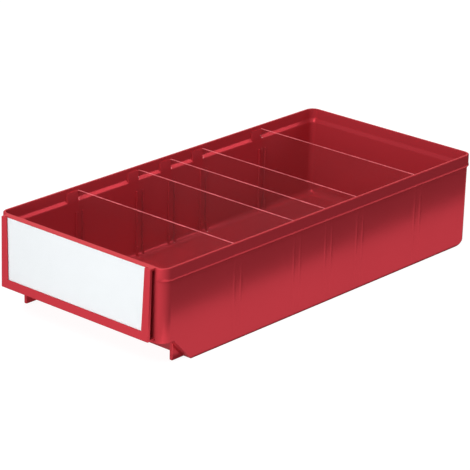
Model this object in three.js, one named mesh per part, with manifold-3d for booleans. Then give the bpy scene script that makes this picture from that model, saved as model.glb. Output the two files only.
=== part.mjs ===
// Stackable storage bin: a moulded tray with a label plate on its front, five clear dividers that lift
// out of guide ribs, and a card behind a clear cover in the label plate's pocket.
// Millimetres, +Z up, the front faces -Y, and the origin is under the middle of the whole bin.
import * as THREE from "three";
import { mergeVertices } from "three/addons/utils/BufferGeometryUtils.js";
import Module from "manifold-3d";

const wasm = await Module();
wasm.setup();

// Driving dimensions of the tray
const LENGTH = 400; // overall, from the foot of the label plate to the back of the rim
const WIDTH = 183.8; // across the rim
const HEIGHT = 84.4;
const WALL = 2.3;
const FLOOR = 2.2;
const RIM_CORNER = 8; // outside radius of the rim's upright corners
const FRONT_CORNER = 10; // and of the walls' corners below the band
const BACK_CORNER = 5;
const INNER_CORNER = 5; // inside radius of the walls' back corners
const BASE_INSET = 1.9; // how far the foot of a wall lies inside the rim, from the draft and the band
const BASE_ROUND = 1.2; // round along the outside bottom edges
const BACK_ROUND = 5; // and along the back one
const FLOOR_ROUND = 4; // round between the floor and the walls, inside
const FRONT_DRAFT = 0.5; // the front wall leans in by this much from the rim to the floor
const CORNER_STEPS = 6; // straight steps in each quarter turn
const ROUND_STEPS = 4;

// The rim band: the wall steps out near the top, and the step is a sloped shoulder inside
const BAND_HEIGHT = 11.55;
const BAND_STEP = 1.55;
const RIM_WALL = 2;
const SHOULDER_BASE = 72;
const SHOULDER_TOP = 75.2;
const TOP_ROUND = 0.5;

// The front of the tray is cut away underneath, with two fins below the slope
const SLOPE_FOOT_Y = -158.2;
const SLOPE_RUN = 20.4;
const SLOPE_RISE = 21.3;
const FIN_INNER_X = 80.6;
const FIN_THICKNESS = 3.2;
const FIN_FRONT_Y = -173.6;
const FIN_BOTTOM = 0.9;

// The label plate stands in front of the front wall on two flanges
const PLATE_REACH = 7.4; // ahead of the rim, at the plate's foot
const PLATE_LEAN = 1.45; // the plate's top lies this much behind its foot
const PLATE_BOTTOM = 23.7;
const PLATE_HALF_TOP = 83;
const PLATE_HALF_BOTTOM = 82.3;
const FLANGE = 1.6;
const LIP = 1; // the frame in front of the pocket
const POCKET = 1.1;
const PLATE_BACK = 0.8; // the sheet behind the pocket
const POCKET_HALF = 79.7;
const POCKET_BOTTOM = 28;
const WINDOW_HALF_TOP = 76.95;
const WINDOW_HALF_BOTTOM = 75;
const WINDOW_BOTTOM = 31.25;

// What the pocket holds
const SLIP = 0.1; // play in front of and behind each sheet
const CARD_THICKNESS = 0.3;
const COVER_THICKNESS = 0.5;
const CARD_PLAY = 0.5; // at the sides and the bottom
const CARD_TOP = 83.9;

// Dividers, and the ribs and bosses that hold them
const SLOT_Y = [-105.3, -32.9, 7, 47.7, 126.1];
const DIVIDER = 1.6;
const DIVIDER_TOP = 81.3;
const DIVIDER_PLAY = 0.4;
const RIB = 1.4;
const RIB_GAP = 6.4; // clear width between the two ribs of a pair
const RIB_TOP = 63;
const RIB_DEPTH = 1.2;
const FOOT_TOP = 12.7;
const FOOT_DEPTH = 2.4;
const BEAD = RIB_GAP - 2 * DIVIDER_PLAY; // the thick edge of a divider, which fills the gap
const BEAD_DEPTH = 1.4;
const BOSS_LENGTH = 12;
const BOSS_CLEAR = 1.2; // from the middle of the slot to the boss behind which the divider drops

// Sizes that follow from the ones above
const RIM_FRONT = -LENGTH / 2 + PLATE_REACH;
const RIM_BACK = LENGTH / 2;
const RIM_HALF = WIDTH / 2;
const RIM_INNER = RIM_HALF - RIM_WALL;
const BAND_BOTTOM = HEIGHT - BAND_HEIGHT;
const SIDE_DRAFT = (BASE_INSET - BAND_STEP) / BAND_BOTTOM; // per millimetre of height
const SHOULDER_INNER = RIM_HALF - BASE_INSET + SIDE_DRAFT * SHOULDER_BASE - WALL;
const ABOVE = HEIGHT + 5; // safely past the rim

// How far the walls' outside faces lie inside the rim's outline at a height
const insetAt = (z) => BASE_INSET - SIDE_DRAFT * z;
const frontAt = (z) => RIM_FRONT + (FRONT_DRAFT * (HEIGHT - z)) / HEIGHT;
const innerHalfAt = (z) => RIM_HALF - insetAt(z) - WALL;

// A rectangle with rounded corners, drawn in from the rim by some distance at the sides and the back
function outline(sideInset, backInset, front, radius, backRadius) {
  const half = RIM_HALF - sideInset;
  const back = RIM_BACK - backInset;
  const shape = new THREE.Shape();
  const turn = Math.PI / 2;
  shape.absarc(half - radius, front + radius, radius, -turn, 0);
  shape.absarc(half - backRadius, back - backRadius, backRadius, 0, turn);
  shape.absarc(-half + backRadius, back - backRadius, backRadius, turn, 2 * turn);
  shape.absarc(-half + radius, front + radius, radius, 2 * turn, 3 * turn);
  return shape.getPoints(CORNER_STEPS / 2); // an arc is cut into twice as many steps as it is given
}

// A closed solid through a stack of outlines that have the same number of points
function loft(levels) {
  const count = levels[0].points.length;
  const position = [];
  for (const level of levels) {
    for (const point of level.points) {
      position.push(point.x, point.y, level.z);
    }
  }
  const index = [];
  for (let row = 0; row + 1 < levels.length; row++) {
    for (let i = 0; i < count; i++) {
      const a = row * count + i;
      const b = row * count + ((i + 1) % count);
      index.push(a, b, b + count, a, b + count, a + count);
    }
  }
  const lastRow = (levels.length - 1) * count;
  const topFaces = THREE.ShapeUtils.triangulateShape(levels.at(-1).points, []);
  for (const [a, b, c] of topFaces) {
    index.push(lastRow + a, lastRow + b, lastRow + c);
  }
  for (const [a, b, c] of THREE.ShapeUtils.triangulateShape(levels[0].points, [])) {
    index.push(a, c, b);
  }
  const geometry = new THREE.BufferGeometry();
  geometry.setAttribute("position", new THREE.Float32BufferAttribute(position, 3));
  geometry.setIndex(index);
  return geometry;
}

// An outline of [u, v] points pushed along an axis. u and v are the other two axes, in X, Y, Z order.
const X = new THREE.Vector3(1, 0, 0);
const Y = new THREE.Vector3(0, 1, 0);
const Z = new THREE.Vector3(0, 0, 1);
function prism(points, axis, from, to) {
  const shape = new THREE.Shape(points.map(([u, v]) => new THREE.Vector2(u, v)));
  const geometry = new THREE.ExtrudeGeometry(shape, { depth: to - from, bevelEnabled: false });
  const basis = new THREE.Matrix4();
  if (axis === "x") {
    basis.makeBasis(Y, Z, X);
    basis.setPosition(from, 0, 0);
  } else if (axis === "y") {
    basis.makeBasis(X, Z, Y.clone().negate());
    basis.setPosition(0, to, 0);
  } else {
    basis.setPosition(0, 0, from);
  }
  return geometry.applyMatrix4(basis);
}

// A geometry as a solid that can be joined and cut. A sideSign of -1 mirrors it to the other side.
function solid(geometry, sideSign = 1) {
  const bare = geometry.clone();
  bare.deleteAttribute("normal");
  bare.deleteAttribute("uv");
  const merged = mergeVertices(bare, 1e-4);
  const vertProperties = new Float32Array(merged.attributes.position.array);
  const triVerts = new Uint32Array(merged.index.array);
  if (sideSign < 0) {
    for (let i = 0; i < vertProperties.length; i += 3) {
      vertProperties[i] *= -1;
    }
    triVerts.reverse(); // this also turns each triangle round, so that it still faces outwards
  }
  return new wasm.Manifold(new wasm.Mesh({ numProp: 3, vertProperties, triVerts }));
}

// A solid as a geometry again
function geometryOf(body) {
  const mesh = body.getMesh();
  const geometry = new THREE.BufferGeometry();
  geometry.setAttribute("position", new THREE.BufferAttribute(mesh.vertProperties, 3));
  geometry.setIndex(new THREE.BufferAttribute(mesh.triVerts, 1));
  const flat = geometry.toNonIndexed();
  flat.computeVertexNormals();
  return flat;
}

// The wedge under the tray's front, grown inwards by the floor's thickness to cut the cavity to match
function frontWedge(grow) {
  const angle = Math.atan2(SLOPE_RISE, SLOPE_RUN);
  const footY = SLOPE_FOOT_Y + grow / Math.sin(angle);
  const ceiling = SLOPE_RISE + grow;
  const below = -5;
  const clearFront = RIM_FRONT - 30;
  const points = [
    [footY - below / Math.tan(angle), below],
    [footY - ceiling / Math.tan(angle), ceiling],
    [clearFront, ceiling],
    [clearFront, below],
  ];
  return solid(prism(points, "x", -WIDTH, WIDTH));
}

// How far a quarter round at a wall's foot lies inside the wall, at a height above the foot
function roundAt(height, radius) {
  const below = Math.max(radius - height, 0);
  return radius - Math.sqrt(radius * radius - below * below);
}

// The heights at which a quarter round of a radius is cut into even steps
function roundHeights(radius) {
  const heights = [];
  for (let i = 0; i <= ROUND_STEPS; i++) {
    heights.push(radius * (1 - Math.cos(((Math.PI / 2) * i) / ROUND_STEPS)));
  }
  return heights;
}

function trayOutside() {
  const wallLevel = (z) => {
    const side = insetAt(z) + roundAt(z, BASE_ROUND);
    const back = insetAt(z) + roundAt(z, BACK_ROUND);
    return { z, points: outline(side, back, frontAt(z), FRONT_CORNER, BACK_CORNER) };
  };
  const bandLevel = (z, extra) => ({
    z,
    points: outline(extra, extra, frontAt(z) + extra, RIM_CORNER, RIM_CORNER),
  });
  return solid(
    loft([
      ...roundHeights(BACK_ROUND).map(wallLevel),
      wallLevel(BAND_BOTTOM),
      bandLevel(BAND_BOTTOM, 0),
      bandLevel(HEIGHT - TOP_ROUND, 0),
      bandLevel(HEIGHT, TOP_ROUND),
    ]),
  ).subtract(frontWedge(0));
}

function trayCavity() {
  const rimRadius = RIM_CORNER - RIM_WALL;
  const wallLevel = (z) => {
    const extra = WALL + roundAt(z - FLOOR, FLOOR_ROUND);
    const inset = insetAt(z) + extra;
    return { z, points: outline(inset, inset, frontAt(z) + extra, FRONT_CORNER - WALL, INNER_CORNER) };
  };
  const rimLevel = (z) => ({
    z,
    points: outline(RIM_WALL, RIM_WALL, frontAt(z) + WALL, rimRadius, rimRadius),
  });
  return solid(
    loft([
      ...roundHeights(FLOOR_ROUND).map((height) => wallLevel(FLOOR + height)),
      wallLevel(SHOULDER_BASE),
      rimLevel(SHOULDER_TOP),
      rimLevel(ABOVE),
    ]),
  ).subtract(frontWedge(FLOOR));
}

// One rib of a guide pair, with a deeper foot near the floor, on the side that sideSign names
function guideRib(sideSign, middleY) {
  const root = WALL / 2;
  const section = [
    [innerHalfAt(0) + root, FLOOR / 2],
    [innerHalfAt(0) - FOOT_DEPTH, FLOOR / 2],
    [innerHalfAt(FOOT_TOP) - FOOT_DEPTH, FOOT_TOP],
    [innerHalfAt(FOOT_TOP) - RIB_DEPTH, FOOT_TOP],
    [innerHalfAt(RIB_TOP) - RIB_DEPTH, RIB_TOP],
    [innerHalfAt(RIB_TOP) + root, RIB_TOP],
  ];
  return solid(prism(section, "y", middleY - RIB / 2, middleY + RIB / 2), sideSign);
}

// The boss in front of a slot covers the shoulder. Its top is a triangle, level with the divider's top.
function slotBoss(sideSign, slotY) {
  const backY = slotY - BOSS_CLEAR;
  const frontY = backY - BOSS_LENGTH;
  const root = 0.8;
  const planTo = (frontX) => [
    new THREE.Vector2(SHOULDER_INNER, backY),
    new THREE.Vector2(frontX, frontY),
    new THREE.Vector2(RIM_INNER + root, frontY),
    new THREE.Vector2(RIM_INNER + root, backY),
  ];
  const levels = [
    { z: SHOULDER_BASE, points: planTo(SHOULDER_INNER) },
    { z: SHOULDER_TOP, points: planTo(SHOULDER_INNER) },
    { z: DIVIDER_TOP, points: planTo(RIM_INNER) },
  ];
  return solid(loft(levels), sideSign);
}

function fin(sideSign) {
  const slope = SLOPE_RISE / SLOPE_RUN;
  const root = 1.4; // how far the fin reaches back into the sloped floor
  const rootY = SLOPE_FOOT_Y + root;
  const section = [
    [FIN_FRONT_Y, FIN_BOTTOM],
    [rootY - FIN_BOTTOM / slope, FIN_BOTTOM],
    [FIN_FRONT_Y, (rootY - FIN_FRONT_Y) * slope],
  ];
  return solid(prism(section, "x", FIN_INNER_X, FIN_INNER_X + FIN_THICKNESS), sideSign);
}

// The label plate's front face at a height. Pieces in its pocket are drawn upright and leant the same way.
const plateFrontAt = (z) =>
  -LENGTH / 2 + (PLATE_LEAN * (z - PLATE_BOTTOM)) / (HEIGHT - PLATE_BOTTOM);

function leant(geometry) {
  const position = geometry.getAttribute("position");
  for (let i = 0; i < position.count; i++) {
    position.setY(i, position.getY(i) + plateFrontAt(position.getZ(i)));
  }
  return geometry;
}

// An upright sheet that may be wider at the top, with its depth counted from the plate's front face
function sheet(halfBottom, halfTop, bottom, top, nearDepth, farDepth) {
  const face = [
    [-halfBottom, bottom],
    [halfBottom, bottom],
    [halfTop, top],
    [-halfTop, top],
  ];
  return leant(prism(face, "y", nearDepth, farDepth));
}

function labelPlate() {
  const thickness = LIP + POCKET + PLATE_BACK;
  const plate = solid(sheet(PLATE_HALF_BOTTOM, PLATE_HALF_TOP, PLATE_BOTTOM, HEIGHT, 0, thickness));
  const pocket = solid(sheet(POCKET_HALF, POCKET_HALF, POCKET_BOTTOM, ABOVE, LIP, LIP + POCKET));
  const window = solid(
    sheet(WINDOW_HALF_BOTTOM, WINDOW_HALF_TOP, WINDOW_BOTTOM, ABOVE, -LIP, LIP + POCKET / 2),
  );
  return plate.subtract(pocket).subtract(window);
}

// A flange between the label plate and the front wall
function flange(halfWidth, bottom) {
  const top = bottom + FLANGE;
  const nearY = plateFrontAt(top) + LIP + POCKET + PLATE_BACK / 2;
  const farY = frontAt(bottom) + WALL / 2;
  const plan = [
    [-halfWidth, nearY],
    [halfWidth, nearY],
    [halfWidth, farY],
    [-halfWidth, farY],
  ];
  return solid(prism(plan, "z", bottom, top));
}

function trayBody() {
  let body = trayOutside().subtract(trayCavity());
  for (const slotY of SLOT_Y) {
    const ribOffset = (RIB_GAP + RIB) / 2;
    for (const sideSign of [-1, 1]) {
      body = body.add(guideRib(sideSign, slotY - ribOffset));
      body = body.add(guideRib(sideSign, slotY + ribOffset));
      body = body.add(slotBoss(sideSign, slotY));
    }
  }
  body = body.add(fin(-1)).add(fin(1));
  body = body.add(labelPlate());
  body = body.add(flange(PLATE_HALF_TOP, HEIGHT - FLANGE));
  body = body.add(flange(PLATE_HALF_BOTTOM, PLATE_BOTTOM));
  return geometryOf(body);
}

// A flat plate with thick edges between the ribs, and wings that reach over the shoulders to the rim
function divider(slotY) {
  const bottom = FLOOR + DIVIDER_PLAY;
  const toe = bottom + FLOOR_ROUND; // the bottom corners are cut off to clear the floor's round
  const wing = SHOULDER_TOP + DIVIDER_PLAY;
  const edgeAt = (z) => innerHalfAt(z) - DIVIDER_PLAY;
  const right = [
    [edgeAt(toe) - FLOOR_ROUND, bottom],
    [edgeAt(toe), toe],
    [edgeAt(SHOULDER_BASE), SHOULDER_BASE],
    [edgeAt(SHOULDER_BASE), SHOULDER_BASE + DIVIDER_PLAY],
    [RIM_INNER - DIVIDER_PLAY, wing],
    [RIM_INNER - DIVIDER_PLAY, DIVIDER_TOP],
  ];
  const left = right.map(([x, z]) => [-x, z]).reverse();
  const plate = solid(prism([...right, ...left], "y", slotY - DIVIDER / 2, slotY + DIVIDER / 2));
  const beadSection = [
    [edgeAt(toe) - BEAD_DEPTH, toe],
    [edgeAt(toe), toe],
    [edgeAt(RIB_TOP), RIB_TOP],
    [edgeAt(RIB_TOP) - BEAD_DEPTH, RIB_TOP],
  ];
  const bead = prism(beadSection, "y", slotY - BEAD / 2, slotY + BEAD / 2);
  return geometryOf(plate.add(solid(bead, 1)).add(solid(bead, -1)));
}

// The card is the back sheet in the pocket and the cover lies in front of it
function labelCard() {
  const half = POCKET_HALF - CARD_PLAY;
  const farDepth = LIP + POCKET - SLIP;
  return sheet(half, half, POCKET_BOTTOM + CARD_PLAY, CARD_TOP, farDepth - CARD_THICKNESS, farDepth);
}

function labelCover() {
  const half = POCKET_HALF - CARD_PLAY;
  const nearDepth = LIP + SLIP;
  return sheet(half, half, POCKET_BOTTOM + CARD_PLAY, CARD_TOP, nearDepth, nearDepth + COVER_THICKNESS);
}

const redPlastic = () =>
  new THREE.MeshStandardMaterial({ color: 0xa52432, roughness: 0.28, metalness: 0 });
const clearPlastic = () =>
  new THREE.MeshStandardMaterial({
    color: 0xf2f5f6,
    roughness: 0.08,
    metalness: 0,
    transparent: true,
    opacity: 0.25,
  });
const whiteCard = () =>
  new THREE.MeshStandardMaterial({ color: 0xf0f3f7, roughness: 0.7, metalness: 0 });

const bin = new THREE.Group();

function addPiece(name, geometry, material) {
  const mesh = new THREE.Mesh(geometry, material);
  mesh.name = name;
  bin.add(mesh);
}

addPiece("tray_body", trayBody(), redPlastic());
SLOT_Y.forEach((slotY, i) => {
  addPiece("divider_" + (i + 1), divider(slotY), clearPlastic());
});
addPiece("label_card", labelCard(), whiteCard());
addPiece("label_cover", labelCover(), clearPlastic());

export default bin;
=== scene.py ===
# %% [markdown]
# # A stackable storage bin
# The bin is one red moulding with five clear dividers, a label card and a clear cover for the card.
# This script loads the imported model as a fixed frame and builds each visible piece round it, in metres.
# The loaded model gives the places: where the slots are, how high the rim is, where the card stands.

# %% Load the frame
import bmesh
import bpy
import math
from mathutils import Matrix, Vector


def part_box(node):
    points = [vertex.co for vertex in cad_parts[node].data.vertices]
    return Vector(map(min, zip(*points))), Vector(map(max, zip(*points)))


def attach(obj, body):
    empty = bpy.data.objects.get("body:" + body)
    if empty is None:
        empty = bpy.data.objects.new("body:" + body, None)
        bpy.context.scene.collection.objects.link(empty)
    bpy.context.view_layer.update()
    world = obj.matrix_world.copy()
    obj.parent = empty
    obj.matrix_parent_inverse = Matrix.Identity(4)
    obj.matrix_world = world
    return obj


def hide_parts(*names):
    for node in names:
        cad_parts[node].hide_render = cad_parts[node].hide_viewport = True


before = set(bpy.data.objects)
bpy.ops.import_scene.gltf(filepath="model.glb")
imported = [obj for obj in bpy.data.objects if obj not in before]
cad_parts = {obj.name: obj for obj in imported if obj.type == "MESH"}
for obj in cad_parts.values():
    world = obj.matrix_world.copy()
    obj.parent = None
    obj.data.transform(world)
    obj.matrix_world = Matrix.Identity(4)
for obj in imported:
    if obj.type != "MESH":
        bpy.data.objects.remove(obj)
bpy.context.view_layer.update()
MM = 0.001

# %% [markdown]
# ## Measures
# The tray's overall size comes from its node's box and each slot from its divider's box, so those can't
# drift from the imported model. The rest are wall thicknesses, steps and rounds, named once here.

# %% Measures taken from the frame
tray_low, tray_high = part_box("tray_body")
HALF = tray_high.x
HEIGHT = tray_high.z
RIM_BACK = tray_high.y
PLATE_FOOT = tray_low.y
DIVIDERS = sorted(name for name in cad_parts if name.startswith("divider_"))
SLOT_Y = [sum(corner.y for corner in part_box(name)) / 2 for name in DIVIDERS]
DIVIDER_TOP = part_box(DIVIDERS[0])[1].z
card_low, card_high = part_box("label_card")
print("slots at", [round(y / MM, 1) for y in SLOT_Y], "mm")

# %% Walls, rim band and shoulder
WALL = 2.3 * MM
FLOOR = 2.2 * MM
RIM_FRONT = PLATE_FOOT + 7.4 * MM
FRONT_DRAFT = 0.5 * MM  # the front wall leans in by this much from the rim to the floor
BASE_INSET = 1.9 * MM  # how far a wall's foot lies inside the rim
BAND_STEP = 1.55 * MM  # and how far its top does, below the band
BAND_BOTTOM = HEIGHT - 11.55 * MM
RIM_WALL = 2 * MM
SHOULDER_BASE = 72 * MM
SHOULDER_TOP = 75.2 * MM
RIM_INNER = HALF - RIM_WALL
RIM_CORNER = 8 * MM
FRONT_CORNER = 10 * MM
BACK_CORNER = 5 * MM
INNER_CORNER = 5 * MM

# %% Rounds along the edges
BASE_ROUND = 0.7 * MM
BACK_ROUND = 5 * MM
FLOOR_ROUND = 6 * MM
BAND_ROUND = 1.5 * MM  # the band's lower edge, across
BAND_ROUND_HEIGHT = 3.6 * MM  # and up its face
TOP_ROUND = 0.7 * MM
INNER_TOP_ROUND = 0.5 * MM
SHOULDER_ROUND = 0.8 * MM
CORNER_STEPS = 10  # straight steps in each quarter turn of the plan
ROUND_STEPS = 8  # and in each round of the profile


def inset_at(z):
    """How far the outside of the walls lies inside the rim's outline."""
    return BASE_INSET + (BAND_STEP - BASE_INSET) * min(z / BAND_BOTTOM, 1)


def front_at(z):
    return RIM_FRONT + FRONT_DRAFT * (HEIGHT - z) / HEIGHT


def inner_half_at(z):
    return HALF - inset_at(z) - WALL


# %% [markdown]
# ## Camera, floor and light
# The camera stands about two metres away behind a long lens, a little above the bin and off its front
# right corner. It is placed by two angles round the bin and a small roll, and looks at the bin's middle.

# %% Camera
AZIMUTH = math.radians(41.41)
ELEVATION = math.radians(20.88)
ROLL = math.radians(1.33)
DISTANCE = 2.0388
AIM = Vector((0.0062, -0.0147, 0.04245))
scene = bpy.context.scene


def place(name, data, position, aim, roll=0.0):
    """A camera or lamp that looks at a point."""
    thing = bpy.data.objects.new(name, data)
    turn = (aim - position).to_track_quat("-Z", "Y").to_matrix() @ Matrix.Rotation(roll, 3, "Z")
    thing.matrix_world = Matrix.Translation(position) @ turn.to_4x4()
    scene.collection.objects.link(thing)
    return thing


towards_camera = Vector((
    math.sin(AZIMUTH) * math.cos(ELEVATION),
    -math.cos(AZIMUTH) * math.cos(ELEVATION),
    math.sin(ELEVATION),
))
camera_data = bpy.data.cameras.new("camera")
camera_data.lens = 185.62
camera_data.sensor_width = 36
camera = place("camera", camera_data, AIM + DISTANCE * towards_camera, AIM, ROLL)
scene.camera = camera
print("camera at", [round(c, 4) for c in camera.location])

# %% [markdown]
# The set is a white sweep under soft light. The world is a plain dim grey, and the softboxes shape the
# bin: two in front of the label, low and high, one over the right side, one behind on the left whose
# mirror image lies along the rim's top edge, and a small one that the shoulder inside the left wall
# mirrors. A reflector panel lies on the floor beside the long right wall, and the foot of the wall
# mirrors it. It is there for its mirror image only, so it lights nothing else.

# %% Soft studio light
scene.view_settings.view_transform = "Standard"
scene.cycles.transparent_max_bounces = 32  # a ray crosses two faces of every clear divider
world = bpy.data.worlds.new("studio")
world.use_nodes = True
background = world.node_tree.nodes["Background"]
background.inputs["Color"].default_value = (1, 1, 1, 1)
background.inputs["Strength"].default_value = 0.22
scene.world = world


def softbox(name, position, size, watts, aim=(0, 0, 0.04)):
    data = bpy.data.lights.new(name, "AREA")
    data.shape = "RECTANGLE"
    data.size = size[0]
    data.size_y = size[1]
    data.energy = watts
    return place(name, data, Vector(position), Vector(aim))


SOFTBOXES = (  # name, place, width and height, watts
    ("front softbox", (0.08, -0.85, 0.12), (0.5, 0.22), 4.2),
    ("top softbox", (0.2, -1.0, 1.5), (1.0, 1.0), 17),
    ("side softbox", (1.25, -0.1, 1.25), (0.9, 0.9), 2),
    ("back softbox", (-1.2, 1.35, 0.75), (1.2, 1.2), 9),
    ("shoulder softbox", (1.0, 1.15, 0.64), (0.5, 0.5), 3.5),
)
for settings in SOFTBOXES:
    softbox(*settings)

# %% The panel on the floor
PANEL_X = HALF + 33.5 * MM  # its near edge lies at the foot of the wall
PANEL_Y = 70 * MM
PANEL_SIZE = (69 * MM, 600 * MM)
PANEL_WATTS = 0.30
panel = softbox("light panel", (PANEL_X, PANEL_Y, MM), PANEL_SIZE, PANEL_WATTS, aim=(PANEL_X, PANEL_Y, 1))
panel.visible_camera = False
panel.visible_diffuse = False
print("lights:", [light.name for light in bpy.data.lights])

# %% [markdown]
# ## Shader maths
# A material is easier to read as an expression than as a list of links. The small class below wraps one
# output socket. Adding or multiplying it makes the Math node that does so.

# %% Sockets as expressions
class Value:
    """A number that changes over the surface: one output socket of a node."""

    def __init__(self, tree, socket):
        self.tree = tree
        self.socket = socket

    def math(self, operation, first, second):
        node = self.tree.nodes.new("ShaderNodeMath")
        node.operation = operation
        for slot, item in zip(node.inputs, (first, second)):
            if isinstance(item, Value):
                self.tree.links.new(item.socket, slot)
            else:
                slot.default_value = item
        return Value(self.tree, node.outputs[0])

    def __add__(self, other):
        return self.math("ADD", self, other)

    def __mul__(self, other):
        return self.math("MULTIPLY", self, other)

    def __sub__(self, other):
        return self.math("SUBTRACT", self, other)

    def __rsub__(self, other):
        return self.math("SUBTRACT", other, self)

    def size(self):
        """The number without its sign."""
        return self.math("ABSOLUTE", self, 0.0)

    def power(self, exponent):
        return self.math("POWER", self, exponent)

    def least(self, other):
        return self.math("MINIMUM", self, other)

    def most(self, other):
        return self.math("MAXIMUM", self, other)

    def above(self, limit):
        """1 where the number is above a limit, 0 elsewhere."""
        return self.math("GREATER_THAN", self, limit)

    __radd__ = __add__
    __rmul__ = __mul__


class Finish:
    """A material under construction, with its Principled shader."""

    def __init__(self, name, **settings):
        self.material = bpy.data.materials.new(name)
        self.material.use_nodes = True
        self.tree = self.material.node_tree
        self.shader = self.tree.nodes["Principled BSDF"]
        self.output = self.tree.nodes["Material Output"]
        for socket, value in settings.items():
            self.shader.inputs[socket.replace("_", " ")].default_value = value
        self.place = self.add("ShaderNodeTexCoord").outputs["Object"]

    def add(self, kind, settings=None, **inputs):
        """A node, with its settings made first and then its sockets' values or links."""
        node = self.tree.nodes.new(kind)
        for name, value in (settings or {}).items():
            setattr(node, name, value)
        for name, value in inputs.items():
            self.feed(node.inputs[name.replace("_", " ")], value)
        return node

    def feed(self, socket, value):
        if isinstance(value, Value):
            value = value.socket
        if isinstance(value, bpy.types.NodeSocket):
            self.tree.links.new(value, socket)
        else:
            socket.default_value = value

    def noise(self, scale, detail=2.0):
        """Soft noise from 0 to 1, with its scale in cycles per metre."""
        node = self.add("ShaderNodeTexNoise", Vector=self.place, Scale=scale, Detail=detail)
        return Value(self.tree, node.outputs["Fac"])

    def blend(self, factor, first, second):
        """A colour between two colours."""
        node = self.add("ShaderNodeMix", {"data_type": "RGBA"})
        self.feed(node.inputs["Factor"], factor)
        self.feed(node.inputs[6], first)
        self.feed(node.inputs[7], second)
        return node.outputs[2]

    def bump(self, height, strength, distance):
        node = self.add("ShaderNodeBump", Height=height, Strength=strength, Distance=distance)
        return node.outputs["Normal"]


# %% [markdown]
# ## Finishes
# The tray is glossy solid-coloured polystyrene. Up close such a moulding isn't one flat colour: the
# pigment streaks a little where the melt flowed, and handling leaves the gloss slightly uneven. Both are
# slow noise on colour and roughness. The walls of a long moulding are never quite flat, so a faint slow
# bump bends what they mirror. The pigment tints the highlights, which stay red instead of turning white.

# Opposite each rib the thick spot shrinks as it cools and leaves a faint upright sink mark outside.

# %% Red moulded plastic
RIB = 1.4 * MM
RIB_GAP = 6.4 * MM
SINK_WIDTH = 1.9 * MM
WALL_FACE = 2.1 * MM  # the outside of a long wall is never deeper than this inside the rim
RELIEF = 0.05 * MM
WAVES = 0.3  # both are in units of the relief
SINKS = 2.2
RED = (0.55, 0.043, 0.057, 1)
RED_DEEP = (0.50, 0.039, 0.052, 1)


def sink_marks(finish):
    """1 on the line opposite each rib on the outside of the long walls, falling to 0 beside it."""
    position = finish.add("ShaderNodeSeparateXYZ", Vector=finish.place)
    across = Value(finish.tree, position.outputs["X"])
    along = Value(finish.tree, position.outputs["Y"])
    nearest_slot = (along - SLOT_Y[0]).size()
    for y in SLOT_Y[1:]:
        nearest_slot = nearest_slot.least((along - y).size())
    nearest_rib = (nearest_slot - (RIB_GAP + RIB) / 2).size()
    depth = (1 - nearest_rib * (1 / SINK_WIDTH)).most(0.0)
    return depth * across.size().above(HALF - WALL_FACE)


def red_plastic():
    finish = Finish("red moulded plastic", IOR=1.5, Specular_IOR_Level=0.02, Metallic=0.22,
                    Specular_Tint=(1.0, 0.16, 0.24, 1))
    flow = finish.noise(9, 4)
    handling = finish.noise(60, 3)
    waviness = finish.noise(45, 1)
    finish.feed(finish.shader.inputs["Base Color"], finish.blend(flow, RED_DEEP, RED))
    finish.feed(finish.shader.inputs["Roughness"], 0.19 + 0.07 * handling)
    relief = WAVES * waviness - SINKS * sink_marks(finish)
    finish.feed(finish.shader.inputs["Normal"], finish.bump(relief, 1.0, RELIEF))
    return finish.material


# %% [markdown]
# Clear plastic in thin flat sheets hardly bends what is seen through it. So its faces let everything
# through except what the surface mirrors, which grows towards grazing angles, and a faint haze from
# fine scratches. A Layer Weight node gives the angle. It works the same on both faces of a sheet, where
# a Fresnel node would turn the far face into a full mirror. The edge of such a sheet collects the
# colour of the tray round it and looks bright. That glint is painted: the edges get a pink colour in a
# finish of their own.

# %% Clear plastic
MIRROR_STRAIGHT = 0.02  # how much a face mirrors when it is looked at straight on
MIRROR_GRAZING = 0.3  # and how much more at a grazing angle


# For the edges, the colour given as tint is a painted glint's colour, and the haze sets how much of it shows.
def clear_sheet(name, haze_and_glint, tint_and_glint, rough, metallic):
    finish = Finish(name, Base_Color=tint_and_glint, Metallic=metallic, Roughness=rough,
                    Specular_IOR_Level=0.5 * metallic)
    scratches = finish.noise(140, 5)
    through = finish.add("ShaderNodeBsdfTransparent", Color=(0.985, 0.985, 0.985, 1))
    facing = Value(finish.tree, finish.add("ShaderNodeLayerWeight", Blend=0.5).outputs["Facing"])
    mirror_share = MIRROR_STRAIGHT + MIRROR_GRAZING * facing.power(5)
    mix = finish.add("ShaderNodeMixShader")
    finish.feed(mix.inputs[0], mirror_share + scratches * haze_and_glint)
    finish.feed(mix.inputs[1], through.outputs[0])
    finish.feed(mix.inputs[2], finish.shader.outputs[0])
    finish.feed(finish.output.inputs["Surface"], mix.outputs[0])
    return finish.material


# %% White card
def white_card():
    finish = Finish("white card", Specular_IOR_Level=0.3)
    fibres = finish.noise(700, 4)
    cloud = finish.noise(18, 2)
    finish.feed(finish.shader.inputs["Base Color"],
                finish.blend(cloud, (0.72, 0.745, 0.76, 1), (0.75, 0.775, 0.79, 1)))
    finish.feed(finish.shader.inputs["Roughness"], 0.6 + 0.15 * fibres)
    finish.feed(finish.shader.inputs["Normal"], finish.bump(fibres, 0.02, 0.05 * MM))
    return finish.material


# %% Floor
def floor_finish():
    finish = Finish("pale floor", Specular_IOR_Level=0.2, Emission_Color=(1, 1, 1, 1))
    cloud = finish.noise(3, 2)
    finish.feed(finish.shader.inputs["Base Color"],
                finish.blend(cloud, (0.14, 0.14, 0.14, 1), (0.16, 0.16, 0.16, 1)))
    finish.feed(finish.shader.inputs["Roughness"], 0.7 + 0.1 * cloud)
    finish.shader.inputs["Emission Strength"].default_value = 0.93
    return finish.material


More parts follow.
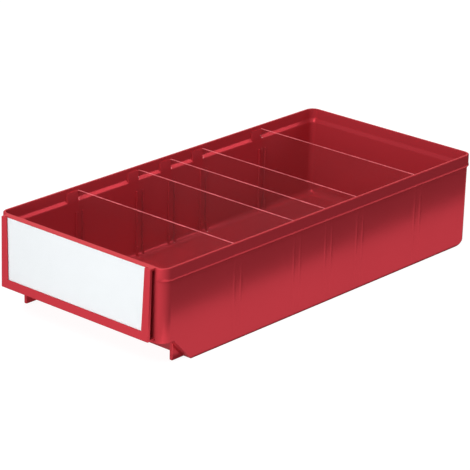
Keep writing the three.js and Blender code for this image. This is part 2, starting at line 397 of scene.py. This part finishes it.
RED_PLASTIC = red_plastic()
CLEAR = clear_sheet("clear plastic", 0.01, (0.9, 0.93, 0.95, 1), 0.08, 0.85)
# The edges' finish is a painted glint: a pink colour in place of the light a clear edge catches.
PAINTED_EDGE_GLINT = clear_sheet("clear plastic edge with painted glint", 1.5, (0.95, 0.2, 0.23, 1), 0.4, 0.0)
CARD = white_card()
finishes = (RED_PLASTIC, CLEAR, PAINTED_EDGE_GLINT, CARD)
print("finishes:", [material.name for material in finishes])

# %% [markdown]
# The floor is a large pale sheet with a faint glow, so it stays nearly white with only a soft shadow. It
# neither lights the bin nor shows in its gloss, which leaves both to the softboxes.

# %% The floor
FLOOR_REACH = 12.0
corners = [(-1, -1), (1, -1), (1, 1), (-1, 1)]
floor_mesh = bpy.data.meshes.new("floor")
floor_mesh.from_pydata([(x * FLOOR_REACH, y * FLOOR_REACH, 0) for x, y in corners], [], [(0, 1, 2, 3)])
floor_mesh.materials.append(floor_finish())
floor = bpy.data.objects.new("floor", floor_mesh)
scene.collection.objects.link(floor)
floor.visible_diffuse = False
floor.visible_glossy = False

# %% [markdown]
# ## Mesh helpers
# Every moulded piece here starts as one of two shapes: a loft through a stack of outlines, or a prism
# pushed along an axis. A Boolean modifier with the Manifold solver then joins or cuts them, the way a
# mould's halves do.

# %% Lofts and prisms
def make(name, mesh_data, material):
    """An object from a bmesh, with one material."""
    mesh = bpy.data.meshes.new(name)
    bmesh.ops.recalc_face_normals(mesh_data, faces=mesh_data.faces)
    mesh_data.to_mesh(mesh)
    mesh_data.free()
    mesh.materials.append(material)
    piece = bpy.data.objects.new(name, mesh)
    scene.collection.objects.link(piece)
    return piece


def loft(name, rows, material=RED_PLASTIC):
    """A closed solid through rows of points, with a flat cap at both ends."""
    shape = bmesh.new()
    rings = [[shape.verts.new(point) for point in row] for row in rows]
    for lower, upper in zip(rings, rings[1:]):
        for i in range(len(lower)):
            j = (i + 1) % len(lower)
            shape.faces.new((lower[i], lower[j], upper[j], upper[i]))
    shape.faces.new(rings[0][::-1])
    shape.faces.new(rings[-1])
    return make(name, shape, material)


AXES = {"x": (1, 2, 0), "y": (0, 2, 1), "z": (0, 1, 2)}


def prism(name, outline, axis, low, high, edge=0.0, material=RED_PLASTIC):
    """An outline pushed along an axis, with its edges rounded by a radius."""
    first, second, along = AXES[axis]
    rows = []
    for depth in (low, high):
        row = []
        for u, v in outline:
            point = [0.0, 0.0, 0.0]
            point[first] = u
            point[second] = v
            point[along] = depth
            row.append(point)
        rows.append(row)
    piece = loft(name, rows, material)
    if edge:
        shape = bmesh.new()
        shape.from_mesh(piece.data)
        bmesh.ops.bevel(shape, geom=shape.edges[:], offset=edge, segments=3, profile=0.5,
                        affect="EDGES")
        shape.to_mesh(piece.data)
        shape.free()
    return piece


# %% Joining, cutting and shading
def flatten(piece):
    """Turn a piece's modifiers into its plain mesh."""
    evaluated = piece.evaluated_get(bpy.context.evaluated_depsgraph_get())
    mesh = bpy.data.meshes.new_from_object(evaluated)
    piece.modifiers.clear()
    piece.data = mesh
    return piece


def combine(piece, operation, *others):
    """Join other pieces to this one, or cut them out of it, and remove them."""
    for other in others:
        step = piece.modifiers.new("combine", "BOOLEAN")
        step.operation = operation
        step.solver = "MANIFOLD"
        step.object = other
    bpy.context.view_layer.update()
    flatten(piece)
    for other in others:
        bpy.data.objects.remove(other)
    return piece


def shade(piece, angle=32):
    """Smooth shading that stays crisp at edges sharper than an angle."""
    piece.data.shade_smooth()
    piece.data.set_sharp_from_angle(angle=math.radians(angle))
    weights = piece.modifiers.new("flat faces stay flat", "WEIGHTED_NORMAL")
    weights.keep_sharp = True
    return piece


def mirrored(outline, side):
    """An outline on the side that is named, +1 or -1. Its order turns round so that it still faces out."""
    points = [(side * x, v) for x, v in outline]
    return points if side > 0 else points[::-1]


# %% [markdown]
# ## The tray's plan and profile
# Seen from above the tray is a rectangle with rounded corners. Seen in section its wall is a short
# polyline with rounded bends: foot, wall, band step and rim. Lofting the plan up the profile gives real
# rounded edges all the way round, and it is these that catch the light on a glossy moulding.

# %% Plan and profile
def plan(z, side_inset, back_inset, front, front_radius, back_radius):
    """One outline of the tray at a height."""
    half = HALF - side_inset
    back = RIM_BACK - back_inset
    corners = [
        (half - front_radius, front + front_radius, front_radius, -90),
        (half - back_radius, back - back_radius, back_radius, 0),
        (-half + back_radius, back - back_radius, back_radius, 90),
        (-half + front_radius, front + front_radius, front_radius, 180),
    ]
    row = []
    for x, y, radius, start in corners:
        for i in range(CORNER_STEPS + 1):
            angle = math.radians(start + 90 * i / CORNER_STEPS)
            row.append((x + radius * math.cos(angle), y + radius * math.sin(angle), z))
    return row


def bend(before, corner, after, radius, steps=4, far_radius=None):
    """A polyline's corner rounded with a short curve that starts and ends a radius away."""
    corner = Vector(corner)
    start = corner + (Vector(before) - corner).normalized() * radius
    end = corner + (Vector(after) - corner).normalized() * (far_radius or radius)
    ways = [i / steps for i in range(steps + 1)]
    return [(1 - t) ** 2 * start + 2 * t * (1 - t) * corner + t ** 2 * end for t in ways]


def round_at(height, radius):
    """How far a quarter round at a wall's foot lies inside the wall, at a height above the foot."""
    below = max(radius - height, 0)
    return radius - math.sqrt(radius ** 2 - below ** 2)


def round_heights(radius):
    quarter = math.pi / 2
    return [radius * (1 - math.cos(quarter * i / ROUND_STEPS)) for i in range(ROUND_STEPS + 1)]


def between(low, high, share):
    return low + (high - low) * min(max(share, 0), 1)


# %% The outside
def tray_outside():
    rows = []
    for z in round_heights(BACK_ROUND):
        side = inset_at(z) + round_at(z, BASE_ROUND)
        back = inset_at(z) + round_at(z, BACK_ROUND)
        # The back corners round out more towards the foot.
        back_radius = BACK_CORNER + 1.2 * round_at(z, BACK_ROUND)
        rows.append(plan(z, side, back, front_at(z), FRONT_CORNER, back_radius))
    rows.append(plan(BAND_BOTTOM, BAND_STEP, BAND_STEP, front_at(BAND_BOTTOM),
                     FRONT_CORNER, BACK_CORNER))
    step = (BAND_STEP, BAND_BOTTOM)
    lower = (0, BAND_BOTTOM)
    upper = (0, HEIGHT)
    for inset, z in bend(step, lower, upper, BAND_ROUND, 10, BAND_ROUND_HEIGHT):
        share = (z - BAND_BOTTOM) / BAND_ROUND_HEIGHT
        front_radius = between(FRONT_CORNER, RIM_CORNER, share)
        back_radius = between(BACK_CORNER, RIM_CORNER, share)
        rows.append(plan(z, inset, inset, front_at(z), front_radius, back_radius))
    for inset, z in bend(lower, upper, (RIM_WALL, HEIGHT), TOP_ROUND):
        rows.append(plan(z, inset, inset, front_at(z) + inset, RIM_CORNER, RIM_CORNER))
    return loft("tray_shell", rows)


# %% The cavity
def tray_cavity():
    above = HEIGHT + 5 * MM
    front_radius = FRONT_CORNER - WALL
    rim_radius = RIM_CORNER - RIM_WALL
    rows = []
    for height in round_heights(FLOOR_ROUND):
        z = FLOOR + height
        extra = WALL + round_at(height, FLOOR_ROUND)
        inset = inset_at(z) + extra
        rows.append(plan(z, inset, inset, front_at(z) + extra, front_radius, INNER_CORNER))
    wall_top = inset_at(SHOULDER_BASE) + WALL
    foot = (wall_top, FLOOR + FLOOR_ROUND)
    base = (wall_top, SHOULDER_BASE)
    top = (RIM_WALL, SHOULDER_TOP)
    lip = (RIM_WALL, HEIGHT)
    profile = bend(foot, base, top, SHOULDER_ROUND) + bend(base, top, lip, SHOULDER_ROUND)
    for inset, z in profile:
        share = (z - SHOULDER_BASE) / (SHOULDER_TOP - SHOULDER_BASE)
        rows.append(plan(z, inset, inset, front_at(z) + WALL,
                         between(front_radius, rim_radius, share),
                         between(INNER_CORNER, rim_radius, share)))
    for inset, z in bend(top, lip, (0, HEIGHT), INNER_TOP_ROUND):
        front = front_at(z) + WALL + inset - RIM_WALL
        rows.append(plan(z, inset, inset, front, rim_radius, rim_radius))
    inset = RIM_WALL - INNER_TOP_ROUND
    front = front_at(HEIGHT) + WALL - INNER_TOP_ROUND
    rows.append(plan(above, inset, inset, front, rim_radius, rim_radius))
    return loft("cavity", rows)


# %% [markdown]
# ## The cut-away front
# Under the label the tray is cut away by a slope, which leaves room for fingers and lets the bin hang
# its front over a shelf's edge. The same wedge, grown by the floor's thickness, is kept out of the
# cavity, so that the floor rises with the slope.

# %% The wedge
SLOPE_FOOT_Y = -158.2 * MM
SLOPE_RUN = 20.4 * MM
SLOPE_RISE = 21.3 * MM
SLOPE = SLOPE_RISE / SLOPE_RUN


def front_wedge(grow):
    angle = math.atan(SLOPE)
    foot_y = SLOPE_FOOT_Y + grow / math.sin(angle)
    ceiling = SLOPE_RISE + grow
    below = -5 * MM
    clear_front = RIM_FRONT - 30 * MM
    outline = [
        (foot_y - below / SLOPE, below),
        (foot_y - ceiling / SLOPE, ceiling),
        (clear_front, ceiling),
        (clear_front, below),
    ]
    return prism("wedge", outline, "x", -2 * HALF, 2 * HALF)


shell = combine(tray_outside(), "DIFFERENCE", front_wedge(0))
cavity = combine(tray_cavity(), "DIFFERENCE", front_wedge(FLOOR))
shell = combine(shell, "DIFFERENCE", cavity)
print("shell:", len(shell.data.polygons), "faces")

# %% [markdown]
# ## Fins and label plate
# Two thin fins under the slope stop the bin against a shelf's edge. The label plate is a flat frame that
# stands a few millimetres in front of the front wall on two flanges. It has a pocket that is open at the
# top, and a window through the frame's face.

# %% Fins
FIN_INNER_X = 80.6 * MM
FIN_THICKNESS = 3.2 * MM
FIN_FRONT_Y = -173.6 * MM
FIN_BOTTOM = 0.9 * MM
FIN_ROUND = 0.8 * MM


def fin(side):
    root_y = SLOPE_FOOT_Y + 1.4 * MM
    outline = [
        (FIN_FRONT_Y, FIN_BOTTOM),
        (root_y - FIN_BOTTOM / SLOPE, FIN_BOTTOM),
        (FIN_FRONT_Y, (root_y - FIN_FRONT_Y) * SLOPE),
    ]
    edges = sorted((side * FIN_INNER_X, side * (FIN_INNER_X + FIN_THICKNESS)))
    return prism("fin", outline, "x", *edges, edge=FIN_ROUND)


# %% The label plate
PLATE_LEAN = 1.45 * MM
PLATE_BOTTOM = 23.7 * MM
PLATE_HALF_TOP = 83 * MM
PLATE_HALF_BOTTOM = 82.3 * MM
PLATE_ROUND = 0.6 * MM
LIP = 1 * MM
POCKET = 1.1 * MM
PLATE_BACK = 0.8 * MM
POCKET_HALF = 79.7 * MM
POCKET_BOTTOM = 28 * MM
WINDOW_HALF_TOP = 76.95 * MM
WINDOW_HALF_BOTTOM = 75 * MM
WINDOW_BOTTOM = 31.25 * MM
FLANGE = 1.6 * MM


def plate_front_at(z):
    return PLATE_FOOT + PLATE_LEAN * (z - PLATE_BOTTOM) / (HEIGHT - PLATE_BOTTOM)


def sheet(name, half_bottom, half_top, bottom, top, near, far, edge=0.0, material=RED_PLASTIC):
    """An upright sheet whose depth is counted from the plate's face, leant as the plate leans."""
    outline = [(-half_bottom, bottom), (half_bottom, bottom), (half_top, top), (-half_top, top)]
    piece = prism(name, outline, "y", near, far, edge, material)
    for vertex in piece.data.vertices:
        vertex.co.y += plate_front_at(vertex.co.z)
    return piece


def label_plate():
    thickness = LIP + POCKET + PLATE_BACK
    above = HEIGHT + 5 * MM
    plate = sheet("plate", PLATE_HALF_BOTTOM, PLATE_HALF_TOP, PLATE_BOTTOM, HEIGHT, 0, thickness, PLATE_ROUND)
    pocket = sheet("pocket", POCKET_HALF, POCKET_HALF, POCKET_BOTTOM, above, LIP, LIP + POCKET)
    window = sheet("window", WINDOW_HALF_BOTTOM, WINDOW_HALF_TOP + 0.16 * MM, WINDOW_BOTTOM, above,
                   -LIP, LIP + POCKET / 2)
    return combine(plate, "DIFFERENCE", pocket, window)


def flange(half_width, bottom):
    """A flat web between the plate and the front wall."""
    top = bottom + FLANGE
    near = plate_front_at(top) + LIP + POCKET + PLATE_BACK / 2
    far = front_at(bottom) + WALL / 2
    outline = [(-half_width, near), (half_width, near), (half_width, far), (-half_width, far)]
    return prism("flange", outline, "z", bottom, top)


# %% [markdown]
# ## Bosses
# In front of each slot a small boss fills the shoulder, so that a lifted divider finds its slot. Its top
# is a triangle level with the divider's top edge.

# %% Bosses in front of the slots
BOSS_LENGTH = 12 * MM
BOSS_CLEAR = 1.2 * MM
SHOULDER_INNER = inner_half_at(SHOULDER_BASE)


def slot_boss(side, slot_y):
    back_y = slot_y - BOSS_CLEAR
    front_y = back_y - BOSS_LENGTH
    root_x = RIM_INNER + 0.8 * MM

    def level(z, front_x):
        outline = [(SHOULDER_INNER, back_y), (front_x, front_y), (root_x, front_y), (root_x, back_y)]
        return [(x, y, z) for x, y in mirrored(outline, side)]

    rows = [
        level(SHOULDER_BASE, SHOULDER_INNER),
        level(SHOULDER_TOP, SHOULDER_INNER),
        level(DIVIDER_TOP, RIM_INNER),
    ]
    return loft("boss", rows)


bosses = [slot_boss(side, slot_y) for slot_y in SLOT_Y for side in (-1, 1)]
flanges = [flange(PLATE_HALF_TOP, HEIGHT - FLANGE), flange(PLATE_HALF_BOTTOM, PLATE_BOTTOM)]
shell = combine(shell, "UNION", fin(-1), fin(1), label_plate(), *flanges, *bosses)
shade(shell)
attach(shell, "tray")
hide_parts("tray_body")
print("tray shell:", len(shell.data.polygons), "faces")

# %% [markdown]
# ## Guide ribs
# Each divider drops between two pairs of upright ribs, one pair on each side wall. All twenty ribs are
# alike, so one rib is modelled and a Geometry Nodes tree puts a pair of it at every slot, and the same
# pair turned half round at the other wall.

# %% One rib
RIB_TOP = 63 * MM
RIB_DEPTH = 1.2 * MM
FOOT_TOP = 12.7 * MM
FOOT_DEPTH = 2.4 * MM


def one_rib():
    root = WALL / 2
    outline = [
        (inner_half_at(0) + root, FLOOR / 2),
        (inner_half_at(0) - FOOT_DEPTH, FLOOR / 2),
        (inner_half_at(FOOT_TOP) - FOOT_DEPTH, FOOT_TOP),
        (inner_half_at(FOOT_TOP) - RIB_DEPTH, FOOT_TOP),
        (inner_half_at(RIB_TOP) - RIB_DEPTH, RIB_TOP),
        (inner_half_at(RIB_TOP) + root, RIB_TOP),
    ]
    return prism("rib", outline, "y", -RIB / 2, RIB / 2, edge=0.3 * MM)


# %% The tree that repeats it
def rib_tree():
    """Ribs in pairs at the points of a mesh, on both walls."""
    tree = bpy.data.node_groups.new("ribs at slots", "GeometryNodeTree")
    sockets = {}
    for name, kind in (("Slots", "NodeSocketGeometry"), ("Rib", "NodeSocketObject"),
                       ("Spacing", "NodeSocketFloat"), ("Finish", "NodeSocketMaterial")):
        sockets[name] = tree.interface.new_socket(name, in_out="INPUT", socket_type=kind).identifier
    tree.interface.new_socket("Ribs", in_out="OUTPUT", socket_type="NodeSocketGeometry")
    given = tree.nodes.new("NodeGroupInput")
    made = tree.nodes.new("NodeGroupOutput")
    rib = tree.nodes.new("GeometryNodeObjectInfo")
    pair = tree.nodes.new("GeometryNodeJoinGeometry")
    both = tree.nodes.new("GeometryNodeJoinGeometry")
    tree.links.new(given.outputs["Rib"], rib.inputs["Object"])
    for sign in (-0.5, 0.5):
        half = tree.nodes.new("ShaderNodeMath")
        half.operation = "MULTIPLY"
        half.inputs[1].default_value = sign
        shift = tree.nodes.new("ShaderNodeCombineXYZ")
        move = tree.nodes.new("GeometryNodeTransform")
        tree.links.new(given.outputs["Spacing"], half.inputs[0])
        tree.links.new(half.outputs[0], shift.inputs["Y"])
        tree.links.new(shift.outputs[0], move.inputs["Translation"])
        tree.links.new(rib.outputs["Geometry"], move.inputs["Geometry"])
        tree.links.new(move.outputs["Geometry"], pair.inputs[0])
    for turn in (0.0, math.pi):
        copies = tree.nodes.new("GeometryNodeInstanceOnPoints")
        copies.inputs["Rotation"].default_value = (0, 0, turn)
        tree.links.new(given.outputs["Slots"], copies.inputs["Points"])
        tree.links.new(pair.outputs[0], copies.inputs["Instance"])
        tree.links.new(copies.outputs[0], both.inputs[0])
    real = tree.nodes.new("GeometryNodeRealizeInstances")
    paint = tree.nodes.new("GeometryNodeSetMaterial")
    tree.links.new(both.outputs[0], real.inputs[0])
    tree.links.new(real.outputs[0], paint.inputs["Geometry"])
    tree.links.new(given.outputs["Finish"], paint.inputs["Material"])
    tree.links.new(paint.outputs[0], made.inputs[0])
    return tree, sockets


# %% Ribs at every slot
slot_mesh = bpy.data.meshes.new("guide_ribs")
slot_mesh.from_pydata([(0, y, 0) for y in SLOT_Y], [], [])
ribs = bpy.data.objects.new("guide_ribs", slot_mesh)
scene.collection.objects.link(ribs)
rib = one_rib()
tree, sockets = rib_tree()
repeat = ribs.modifiers.new("ribs at slots", "NODES")
repeat.node_group = tree
repeat[sockets["Rib"]] = rib
repeat[sockets["Spacing"]] = RIB_GAP + RIB
repeat[sockets["Finish"]] = RED_PLASTIC
bpy.context.view_layer.update()
flatten(ribs)
bpy.data.objects.remove(rib)
shade(ribs)
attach(ribs, "tray")
print("guide ribs:", len(ribs.data.polygons), "faces")

# %% [markdown]
# ## Dividers
# A divider is a thin clear plate. Its side edges are thickened into beads that fill the gap between the
# ribs, and its top corners reach out over the shoulders to the rim. Its long edges are rounded, and the
# top edge carries a painted glint: a pink colour that stands in for the light it catches.

# %% A divider
DIVIDER = 1.6 * MM
PLAY = 0.4 * MM
BEAD = RIB_GAP - 2 * PLAY
BEAD_DEPTH = 0.9 * MM
EDGE_ROUND = 0.25 * MM


def clear_divider(name, slot_y):
    bottom = FLOOR + PLAY
    toe = bottom + FLOOR_ROUND

    def edge_at(z):
        return inner_half_at(z) - PLAY

    right = [
        (edge_at(toe) - FLOOR_ROUND, bottom),
        (edge_at(toe), toe),
        (edge_at(SHOULDER_BASE), SHOULDER_BASE),
        (edge_at(SHOULDER_BASE), SHOULDER_BASE + PLAY),
        (RIM_INNER - PLAY, SHOULDER_TOP + PLAY),
        (RIM_INNER - PLAY, DIVIDER_TOP),
    ]
    outline = right + mirrored(right, -1)
    near = slot_y - DIVIDER / 2
    plate = prism(name + "_clear", outline, "y", near, near + DIVIDER, EDGE_ROUND, CLEAR)
    bead = [
        (edge_at(toe) - BEAD_DEPTH, toe),
        (edge_at(toe), toe),
        (edge_at(RIB_TOP), RIB_TOP),
        (edge_at(RIB_TOP) - BEAD_DEPTH, RIB_TOP),
    ]
    beads = [
        prism("bead", mirrored(bead, side), "y", slot_y - BEAD / 2, slot_y + BEAD / 2, EDGE_ROUND, CLEAR)
        for side in (-1, 1)
    ]
    combine(plate, "UNION", *beads)
    plate.data.materials.append(PAINTED_EDGE_GLINT)
    # The upward faces along the top edge get the painted pink glint.
    for face in plate.data.polygons:
        if face.normal.z > 0.5 and face.center.z > DIVIDER_TOP - 2 * EDGE_ROUND:
            face.material_index = 1
    return shade(plate)


for name, slot_y in zip(DIVIDERS, SLOT_Y):
    divider = clear_divider(name, slot_y)
    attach(divider, name)
    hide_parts(name)
print("dividers:", DIVIDERS)

# %% [markdown]
# ## Card and cover
# A blank card stands at the back of the plate's pocket and a clear cover in front of it. Both are sheets
# with softened edges, a little smaller than the pocket.

# %% Card and cover
SLIP = 0.1 * MM
CARD_THICKNESS = 0.3 * MM
COVER_THICKNESS = 0.5 * MM
SHEET_ROUND = 0.08 * MM
card_far = LIP + POCKET - SLIP
card = sheet("card", card_high.x, card_high.x, card_low.z, card_high.z,
             card_far - CARD_THICKNESS, card_far, SHEET_ROUND, CARD)
cover_near = LIP + SLIP
cover = sheet("cover", card_high.x, card_high.x, card_low.z, card_high.z,
              cover_near, cover_near + COVER_THICKNESS, SHEET_ROUND, CLEAR)
for piece, body, node, slot in (
    (card, "card", "label_card", "white_card"),
    (cover, "cover", "label_cover", "clear_plastic"),
):
    shade(piece)
    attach(piece, body)
    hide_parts(node)
print("card:", [round(v / MM, 1) for v in card.dimensions], "mm")
